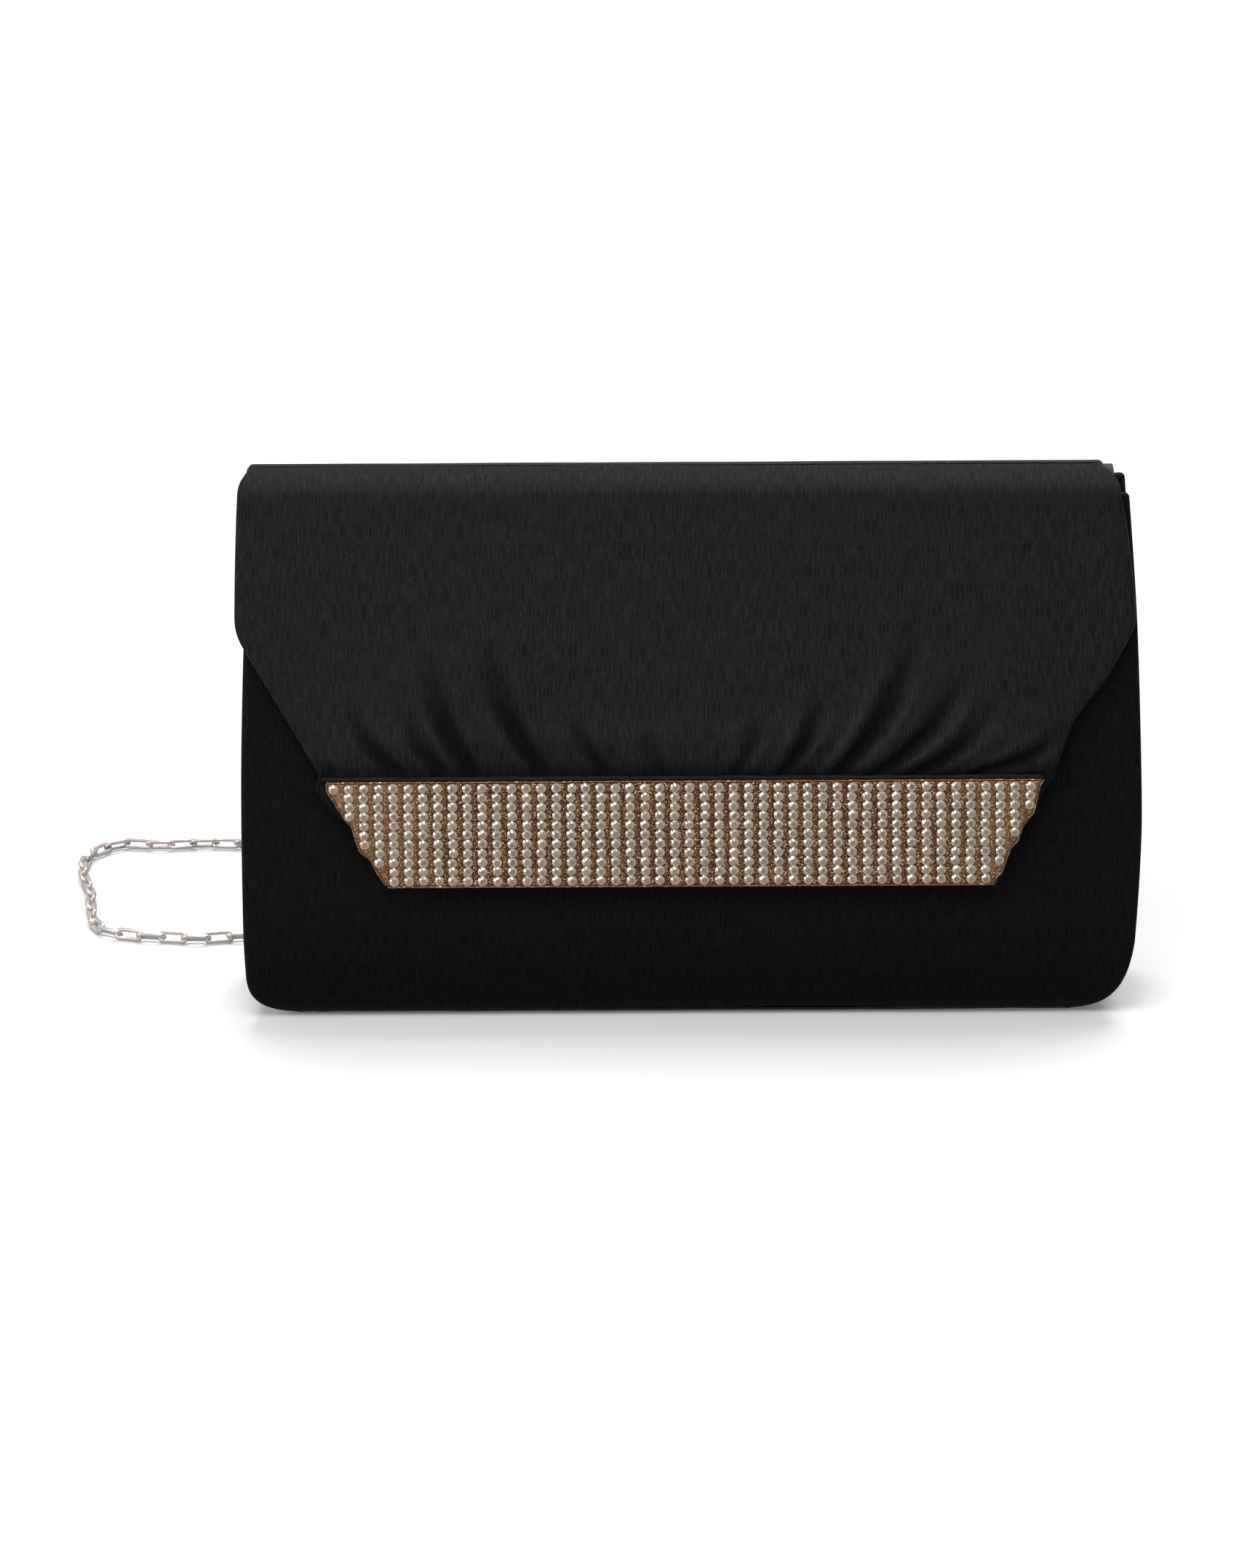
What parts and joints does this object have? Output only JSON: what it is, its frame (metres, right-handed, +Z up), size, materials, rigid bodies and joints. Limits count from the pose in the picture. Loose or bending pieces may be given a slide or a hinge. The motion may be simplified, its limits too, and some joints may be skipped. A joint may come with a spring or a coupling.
{
  "type": "evening bag",
  "caption": "Slim black satin flap bag with a crystal bar, folding flap on a hidden magnetic snap, opening mouth and a silver chain strap on rings and clasps.",
  "frame": {"origin": "middle of the flat base, on the surface that the bag stands on", "axes": "+X to the right as seen from the front and along the width, -Y out of the front, +Z up"},
  "size_m": [0.3053, 0.1695, 0.1543],
  "materials": {
    "satin": "black crinkled satin with a faint sparkle",
    "lining": "black woven lining",
    "board": "grey-brown stiffening board",
    "wadding": "white soft wadding",
    "glitter": "copper-brown glitter cloth",
    "crystal": "clear faceted crystal stones",
    "antique_gold": "aged gold edge braid",
    "silver": "polished silver-tone metal",
    "snap_metal": "nickel-plated steel",
    "magnet": "dark ferrite"
  },
  "bodies": {
    "bag": {"back_cover": "satin", "back_board": "board", "base_board": "board", "back_lining": "lining", "slip_pocket": "lining", "left_gusset": "satin", "right_gusset": "satin", "left_gusset_lining": "lining", "right_gusset_lining": "lining", "left_ring_tab": "satin", "right_ring_tab": "satin", "left_clasp_body": "silver", "right_clasp_body": "silver", "left_lever_pin": "silver", "right_lever_pin": "silver", "left_jump_ring": "silver", "right_jump_ring": "silver", "chain_left_run": "silver", "chain_coil": "silver", "chain_right_run": "silver"},
    "front_panel": {"front_cover": "satin", "front_board": "board", "front_lining": "lining", "snap_socket": "snap_metal", "snap_magnet": "magnet", "snap_socket_washer": "snap_metal"},
    "top_strip": {"fold_cover": "satin", "fold_wadding": "wadding", "fold_lining": "lining"},
    "flap": {"flap_cover": "satin", "flap_board": "board", "flap_lining": "lining", "snap_stud": "snap_metal", "snap_stud_washer": "snap_metal", "bar_backing": "glitter", "crystal_field": "crystal", "bar_top_trim": "antique_gold", "bar_foot_trim": "antique_gold"},
    "left_ring": {"left_strap_ring": "silver"},
    "right_ring": {"right_strap_ring": "silver"},
    "left_lever": {"left_clasp_lever": "silver"},
    "right_lever": {"right_clasp_lever": "silver"}
  },
  "joints": [
    {"name": "top_strip_fold", "type": "hinge", "parent": "bag", "child": "top_strip", "pos_m": [0, 0.0085, 0.149], "axis": [-1, 0, 0], "range_deg": [0, 92]},
    {"name": "flap_fold", "type": "hinge", "parent": "top_strip", "child": "flap", "pos_m": [0, -0.0132, 0.149], "axis": [-1, 0, 0], "range_deg": [0, 92]},
    {"name": "mouth_open", "type": "hinge", "parent": "bag", "child": "front_panel", "pos_m": [0, -0.0231, 0.0098], "axis": [1, 0, 0], "range_deg": [0, 7.4], "deforming": ["left_gusset", "right_gusset", "left_gusset_lining", "right_gusset_lining"]},
    {"name": "left_ring_swing", "type": "hinge", "parent": "bag", "child": "left_ring", "pos_m": [-0.104, 0.01552, 0.13472], "axis": [1, 0, 0], "range_deg": [0, 8]},
    {"name": "left_clasp_lever_press", "type": "hinge", "parent": "bag", "child": "left_lever", "pos_m": [-0.104, 0.02389, 0.12075], "axis": [1, 0, 0], "range_deg": [0, 16], "stiffness_Nm_per_rad": 0.004, "springref_deg": -20.05},
    {"name": "right_ring_swing", "type": "hinge", "parent": "bag", "child": "right_ring", "pos_m": [0.104, 0.01552, 0.13472], "axis": [1, 0, 0], "range_deg": [0, 8]},
    {"name": "right_clasp_lever_press", "type": "hinge", "parent": "bag", "child": "right_lever", "pos_m": [0.104, 0.02389, 0.12075], "axis": [1, 0, 0], "range_deg": [0, 16], "stiffness_Nm_per_rad": 0.004, "springref_deg": -20.05}
  ],
  "couplings": [
    {"joint": "flap_fold", "follows": "top_strip_fold", "ratio": 1},
    {"joint": "mouth_open", "follows": "top_strip_fold", "ratio": 0.08}
  ]
}
